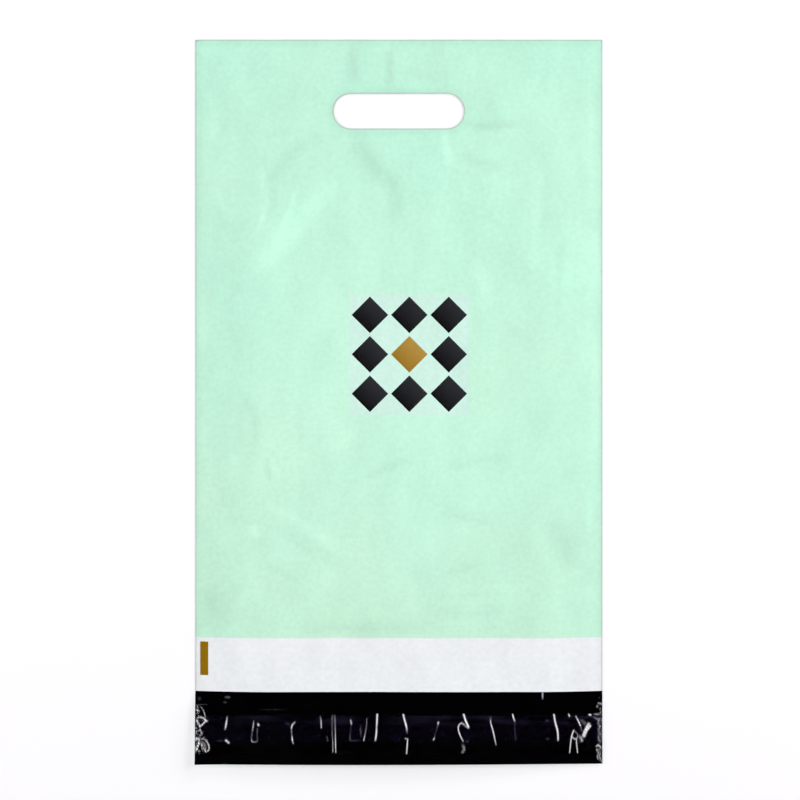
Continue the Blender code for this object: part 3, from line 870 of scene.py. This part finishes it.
# Glints of the lamps painted into the bare flap's black, in millimetres: where the middle is,
# across from the bag's left side and down from the liner's upper edge, half the width and length,
# and how pale it is.
PaintedGlint = namedtuple("PaintedGlint", "across down half_width half_length pale")
PAINTED_GLINTS = rows_of(
    PaintedGlint,
    (22.3, -11.2, 2.4, 1.1, 0.130),
    (20.4, -7.7, 1.6, 0.9, 0.050),
    (2.8, -10.4, 1.6, 1.6, 0.030),
    (4.3, -6.3, 5.0, 0.5, 0.045),
    (53.2, -2.7, 12.0, 0.7, 0.012),
    (238.9, -12.6, 0.8, 3.4, 0.650),
    (277.9, -10.8, 0.7, 0.8, 0.060),
    (276.6, -4.9, 0.9, 1.4, 0.500),
    (277.9, -7.2, 1.4, 0.7, 0.650),
    (278.6, -3.2, 0.7, 1.5, 0.450),
)


def film_skin_group():
    """What every face of the film has: cloudy colour, uneven gloss and a faint pebbled relief. The
    cloud is partly random tone and partly painted shade that stands in for the shading of the
    film's faint undulations. Near every cut the colour holds painted shade, and on the front it
    holds light and shade painted along the wrinkles.
    """
    group, given, out = new_group(
        "film skin", ["Colour", "Cloud", "Roughness", "Pebble"], ["Colour", "Roughness", "Normal"]
    )
    place, _, _ = object_place(group)
    # The cloud: random tone, and painted shade that stands in for the shading of the film's faint
    # undulations
    drawn = node_of(group, "ShaderNodeMapping", Vector=place, Scale=(1.5, 0.8, 1.0))
    cloud = noise(group, drawn.outputs["Vector"], 34.0, 4.0)
    grain = noise(group, place, 320.0, 2.0)
    both = sums(group, "MULTIPLY_ADD", grain, 0.8, cloud)
    centred = sums(group, "SUBTRACT", both, 0.9)
    shift = sums(group, "MULTIPLY_ADD", centred, given.outputs["Cloud"], 1.0)
    # Painted light and shade along the wrinkles: each step makes the colour 5.2% lighter, or darker
    # below 0.
    shift = sums(group, "MULTIPLY_ADD", painted(group, "tone"), PAINTED_SHADING_STEP, shift)
    # Painted shade near the edges: the colour darkens by up to 6% within 7 mm of a cut or welded
    # edge, the fold or the slot.
    edge = ranged(group, painted(group, "from_cut"), 0.0, 0.007, 0.94, 1.0)
    shift = sums(group, "MULTIPLY", shift, edge)
    scaling, base = [("operation", "SCALE")], given.outputs["Colour"]
    tint = node_of(group, "ShaderNodeVectorMath", scaling, Vector=base, Scale=shift)
    rough = sums(group, "MULTIPLY_ADD", centred, 0.12, given.outputs["Roughness"])
    pebble, strength = noise(group, place, 420.0, 1.0), given.outputs["Pebble"]
    bump = node_of(group, "ShaderNodeBump", Height=pebble, Distance=0.0001, Strength=strength)
    colour, normal = tint.outputs["Vector"], bump.outputs["Normal"]
    feed_all(group, out, Colour=colour, Roughness=rough, Normal=normal)
    return group


def mint_ink_group():
    """The mint ink: cooler towards the fold, warmer towards the mouth, and softly patched."""
    group, _, out = new_group("mint ink", [], ["Colour"])
    place, _, y = object_place(group)
    drift = noise(group, place, 9.0, 4.0)
    cool = sums(group, "SUBTRACT", sums(group, "MULTIPLY_ADD", y, 0.9, drift), 0.5)
    red = sums(group, "MULTIPLY_ADD", cool, -0.17 * MINT[0], MINT[0])
    blue = sums(group, "MULTIPLY_ADD", cool, 0.05 * MINT[2], MINT[2])
    ink = node_of(group, "ShaderNodeCombineColor", Red=red, Green=MINT[1], Blue=blue)
    feed_all(group, out, Colour=ink.outputs["Color"])
    return group


def lozenge_group():
    """The emblem's lattice: masks of its field, its lozenges and the middle one, and a painted
    sheen that runs lighter towards each lozenge's upper right.
    """
    group, given, out = new_group(
        "lozenge lattice", ["Fill"], ["Field", "Lozenge", "Middle", "Sheen"]
    )
    _, x, y = object_place(group)
    right = sums(group, "DIVIDE", sums(group, "SUBTRACT", x, EMBLEM_X), LOZENGE)
    up = sums(group, "DIVIDE", sums(group, "SUBTRACT", y, EMBLEM_Y), LOZENGE)
    reach = sums(group, "MAXIMUM", sums(group, "ABSOLUTE", right), sums(group, "ABSOLUTE", up))
    field = sums(group, "LESS_THAN", reach, FIELD_REACH)
    cell_x, cell_y = beyond_cell(group, right), beyond_cell(group, up)
    spread = sums(group, "ADD", sums(group, "ABSOLUTE", cell_x), sums(group, "ABSOLUTE", cell_y))
    half = sums(group, "MULTIPLY", given.outputs["Fill"], 0.5)
    inner = sums(group, "LESS_THAN", spread, half)
    lattice = sums(group, "MULTIPLY", inner, sums(group, "LESS_THAN", reach, LATTICE_REACH))
    middle = sums(group, "LESS_THAN", reach, 0.5)
    sheen = sums(group, "MULTIPLY_ADD", sums(group, "ADD", cell_y, cell_x), 0.9, 0.5)
    feed_all(group, out, Field=field, Lozenge=lattice, Middle=middle, Sheen=sheen)
    return group


def place_group(tree, group, **inputs):
    """Puts a node group into a material, with these inputs."""
    return node_of(tree, "ShaderNodeGroup", [("node_tree", group)], **inputs)


def dress_film(tree, shader, skin, colour, cloud, roughness):
    """Runs a colour through the film's skin and into the shader."""
    made = place_group(tree, skin, Colour=colour, Cloud=cloud, Roughness=roughness, Pebble=PEBBLE)
    colour, rough, normal = made.outputs
    feed_all(tree, shader, Base_Color=colour, Roughness=rough, Normal=normal)


def greyed_rim(tree, colour):
    """The colour, with the grey of a cut or welded edge over it, which fades out inwards."""
    share = sums(tree, "DIVIDE", painted(tree, "from_cut"), RIM_WIDTH)
    rim = clamped(tree, sums(tree, "SUBTRACT", 1.0, share))
    return blend_colour(tree, sums(tree, "MULTIPLY", rim, RIM_STRENGTH), colour, EDGE_GREY)


def front_print(skin, mint_ink, lattice):
    """The printed front: mint down to the bare white band, the register mark and the emblem."""
    made, tree, shader = new_finish("front_print", Specular_IOR_Level=0.4)
    _, x, y = object_place(tree)
    mint = place_group(tree, mint_ink).outputs["Colour"]
    colour = blend_colour(tree, sums(tree, "GREATER_THAN", y, PRINT_END_Y), WHITE, mint)
    on_mark = inside(tree, x, MARK_LEFT, MARK_LEFT + MARK_WIDTH)
    on_mark = sums(tree, "MULTIPLY", on_mark, inside(tree, y, MARK_TOP - MARK_LENGTH, MARK_TOP))
    colour = blend_colour(tree, on_mark, colour, GOLD)
    emblem = place_group(tree, lattice, Fill=LOZENGE_FILL)
    # Painted sheen: each lozenge's ink runs from its own colour to a lighter one towards its upper
    # right.
    sheen = emblem.outputs["Sheen"]
    black = blend_colour(tree, sheen, BLACK_INK, BLACK_PAINTED_SHEEN)
    gold = blend_colour(tree, sheen, GOLD, GOLD_PAINTED_SHEEN)
    ink = blend_colour(tree, emblem.outputs["Middle"], black, gold)
    colour = blend_colour(tree, emblem.outputs["Field"], colour, FIELD)
    colour = blend_colour(tree, emblem.outputs["Lozenge"], colour, ink)
    dress_film(tree, shader, skin, greyed_rim(tree, colour), PRINT_CLOUD, PRINT_ROUGHNESS)
    return made


def back_print(skin, mint_ink):
    """The printed back: mint all over."""
    made, tree, shader = new_finish("back_print", Specular_IOR_Level=0.4)
    mint = place_group(tree, mint_ink).outputs["Colour"]
    dress_film(tree, shader, skin, greyed_rim(tree, mint), PRINT_CLOUD, PRINT_ROUGHNESS)
    return made


def painted_glint_mask(tree, mark, x, y):
    """The painted glint's paleness in its middle, less by the distance squared to 0 at its outline.
    """
    from_middle_x = sums(tree, "SUBTRACT", x, mark.across / 1000 - HALF_WIDTH)
    from_middle_y = sums(tree, "SUBTRACT", y, LINER_TOP_Y - mark.down / 1000)
    across = sums(tree, "DIVIDE", from_middle_x, mark.half_width / 1000)
    along = sums(tree, "DIVIDE", from_middle_y, mark.half_length / 1000)
    squares = sums(tree, "MULTIPLY_ADD", across, across, sums(tree, "MULTIPLY", along, along))
    left = sums(tree, "MAXIMUM", sums(tree, "SUBTRACT", 1.0, squares), 0.0)
    return sums(tree, "MULTIPLY", left, mark.pale)


def black_inside(skin):
    """The bag's black inside, bare on the open flap, with small glints of the lamps painted into it
    there.
    """
    made, tree, shader = new_finish("black_inside", Specular_IOR_Level=0.35)
    place, x, y = object_place(tree)
    # Painted glints: small pale reflections painted into the flap's black, broken up by noise.
    mask = 0.0
    for mark in PAINTED_GLINTS:
        mask = sums(tree, "MAXIMUM", mask, painted_glint_mask(tree, mark, x, y))
    broken = sums(tree, "MULTIPLY_ADD", noise(tree, place, 700.0, 2.0), 3.0, -0.5)
    painted_glints = clamped(tree, sums(tree, "MULTIPLY", mask, broken))
    colour = blend_colour(tree, painted_glints, BLACK_FILM, GLINT_PAINT)
    dress_film(tree, shader, skin, colour, BARE_CLOUD, BLACK_ROUGHNESS)
    return made


def cut_edge(skin):
    """The film's thin cut edge."""
    made, tree, shader = new_finish("cut_edge", Specular_IOR_Level=0.3)
    dress_film(tree, shader, skin, EDGE_GREY, BARE_CLOUD, CUT_ROUGHNESS)
    return made


def clear_liner():
    """Clear film: sharp gloss, with a little haze where it was scuffed."""
    made, tree, shader = new_finish(
        "clear_liner", Base_Color=(0.97, 0.97, 0.98), Transmission_Weight=1.0, IOR=1.5
    )
    place, _, _ = object_place(tree)
    haze = sums(tree, "MULTIPLY_ADD", noise(tree, place, 90.0, 3.0), 0.10, 0.03)
    feed(tree, shader.inputs["Roughness"], haze)
    return made


def glint_painted_liner():
    """Clear film along its creases, with glints painted on in white and half mirror-bright, fading
    out to clear where the painted glint fades.
    """
    made, tree, shader = new_finish(
        "glint_painted_liner", Base_Color=LINER_GLINT_PAINT, IOR=1.8, Specular_IOR_Level=0.8
    )
    place, _, _ = object_place(tree)
    broken = noise(tree, place, 700.0, 2.0)
    uneven = sums(tree, "MULTIPLY_ADD", broken, 1.0, 0.85)
    # The painted glint sets how far the white shows over the clear film.
    alpha = clamped(tree, sums(tree, "MULTIPLY", painted(tree, "white"), uneven))
    rough = sums(tree, "MULTIPLY_ADD", broken, 0.2, 0.12)
    feed_all(tree, shader, Alpha=alpha, Roughness=rough)
    return made


def hot_melt():
    """Adhesive laid on black film: a violet black with pinched ripples and lighter streaks near its
    top edge, a sheen painted into its colour.
    """
    made, tree, shader = new_finish("hot_melt", Specular_IOR_Level=0.35)
    place, _, y = object_place(tree)
    flow = noise(tree, place, 220.0, 2.0)
    colour = blend_colour(tree, flow, MELT_DARK, MELT_LIGHT)
    top_y = FLAP_END_Y + ADHESIVE_FROM_END + ADHESIVE_WIDTH
    near_top = ranged(tree, y, top_y - 0.008, top_y - 0.004)
    drawn = node_of(tree, "ShaderNodeMapping", Vector=place, Scale=(0.35, 2.0, 1.0))
    streaks = noise(tree, drawn.outputs["Vector"], 110.0, 3.0)
    streaked = ranged(tree, streaks, 0.42, 0.68, kind="LINEAR")
    # Painted sheen: lighter streaks near the band's top edge
    painted_sheen = sums(tree, "MULTIPLY", near_top, streaked)
    colour = blend_colour(tree, painted_sheen, colour, MELT_PAINTED_SHEEN)
    rough = sums(tree, "MULTIPLY_ADD", flow, 0.2, 0.12)
    feed_all(tree, shader, Base_Color=colour, Roughness=rough)
    return made


def add_floor():
    """A white floor that keeps the bag's shadow, just under the bag.

    Rays that see it directly get a little more light, and more of it far from the bag, where the
    lamps don't reach.
    """
    size, drop = 6.0, 0.0003
    mesh = bpy.data.meshes.new("floor")
    corners = [(-size, -size), (size, -size), (size, size), (-size, size)]
    mesh.from_pydata([(x, y, -drop) for x, y in corners], [], [(0, 1, 2, 3)])
    made, tree, shader = new_finish(
        "floor_white", Base_Color=(0.885, 0.870, 0.895), Roughness=0.9, Specular_IOR_Level=0.0
    )
    path = tree.nodes.new("ShaderNodeLightPath")
    seen = sums(tree, "MAXIMUM", path.outputs["Is Camera Ray"], path.outputs["Is Glossy Ray"])
    seen = sums(tree, "MAXIMUM", seen, path.outputs["Is Transmission Ray"])
    place, _, _ = object_place(tree)
    away = node_of(tree, "ShaderNodeVectorMath", [("operation", "LENGTH")], Vector=place)
    level = ranged(tree, away.outputs["Value"], 0.34, 1.3, 0.17, 0.9)
    strength = sums(tree, "MULTIPLY", seen, level)
    glow = node_of(tree, "ShaderNodeEmission", Color=(1.0, 1.0, 1.0), Strength=strength)
    both = tree.nodes.new("ShaderNodeAddShader")
    tree.links.new(shader.outputs[0], both.inputs[0])
    tree.links.new(glow.outputs[0], both.inputs[1])
    tree.links.new(both.outputs[0], tree.nodes["Material Output"].inputs["Surface"])
    mesh.materials.append(made)
    put_in("floor", mesh)


def add_world():
    """A studio: even light on surfaces, and for gloss to mirror, pale walls and a dark ceiling."""
    world = bpy.data.worlds.new("studio")
    bpy.context.scene.world = world
    world.use_nodes = True
    tree = world.node_tree
    direction = tree.nodes.new("ShaderNodeTexCoord").outputs["Generated"]
    height = node_of(tree, "ShaderNodeSeparateXYZ", Vector=direction).outputs["Z"]
    pale = ranged(tree, height, 0.30, 0.60, 0.9, 0.0)
    path = tree.nodes.new("ShaderNodeLightPath")
    walls = sums(tree, "MAXIMUM", pale, path.outputs["Is Camera Ray"])
    mirrored = sums(tree, "SUBTRACT", 1.0, path.outputs["Is Diffuse Ray"])
    even = sums(tree, "MULTIPLY", path.outputs["Is Diffuse Ray"], 0.20)
    strength = sums(tree, "MULTIPLY_ADD", walls, mirrored, even)
    feed_all(tree, tree.nodes["Background"], Color=(1.0, 1.0, 1.0), Strength=strength)


def add_lamp(name, place, width, length, radiance, mirrored=True):
    """A rectangular softbox aimed at the bag. radiance is its brightness, where 1 is white."""
    lamp = bpy.data.lights.new(name, "AREA")
    lamp.shape = "RECTANGLE"
    lamp.size, lamp.size_y = width, length
    lamp.energy = radiance * math.pi * width * length
    holder = put_in(name, lamp)
    holder.location = place
    holder.rotation_euler = (-holder.location).to_track_quat("-Z", "Y").to_euler()
    holder.visible_glossy = mirrored
    holder.visible_transmission = mirrored
    holder.visible_camera = False


def add_camera():
    """Overhead, as in the photograph, its middle a little off the bag's."""
    view_width = 0.5505
    view_x, view_y = 0.0008, 0.0011
    camera = bpy.data.cameras.new("camera")
    camera.lens, camera.sensor_width = 90.0, 36.0
    holder = put_in("camera", camera)
    holder.location = (view_x, view_y, view_width * camera.lens / camera.sensor_width)
    bpy.context.scene.camera = holder


def dress(piece, node):
    """Attaches the piece to the root body and hides the solid that it replaces."""
    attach(piece, "root")
    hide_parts(node)


skin = film_skin_group()
mint_ink = mint_ink_group()
printed = [front_print(skin, mint_ink, lozenge_group()), back_print(skin, mint_ink)]
film = mailer_film([*printed, black_inside(skin), cut_edge(skin)])
dress(film, "bag_film")
band = hot_melt_band(hot_melt())
dress(band, "adhesive_strip")
liner = liner_sheet([clear_liner(), glint_painted_liner()])
dress(liner, "release_liner")

add_floor()
add_world()
add_lamp("overhead_softbox", (-0.11, -0.05, 1.48), 0.50, 0.50, 10.3, mirrored=False)
add_lamp("key_softbox", (0.93, 1.60, 0.80), 0.66, 0.46, 9.0, mirrored=False)
add_lamp("right_softbox", (1.10, 0.20, 0.62), 0.56, 1.00, 4.0)
add_lamp("left_softbox", (-1.10, 0.05, 0.62), 0.56, 1.00, 2.9)
add_camera()
bpy.context.scene.view_settings.view_transform = "Standard"
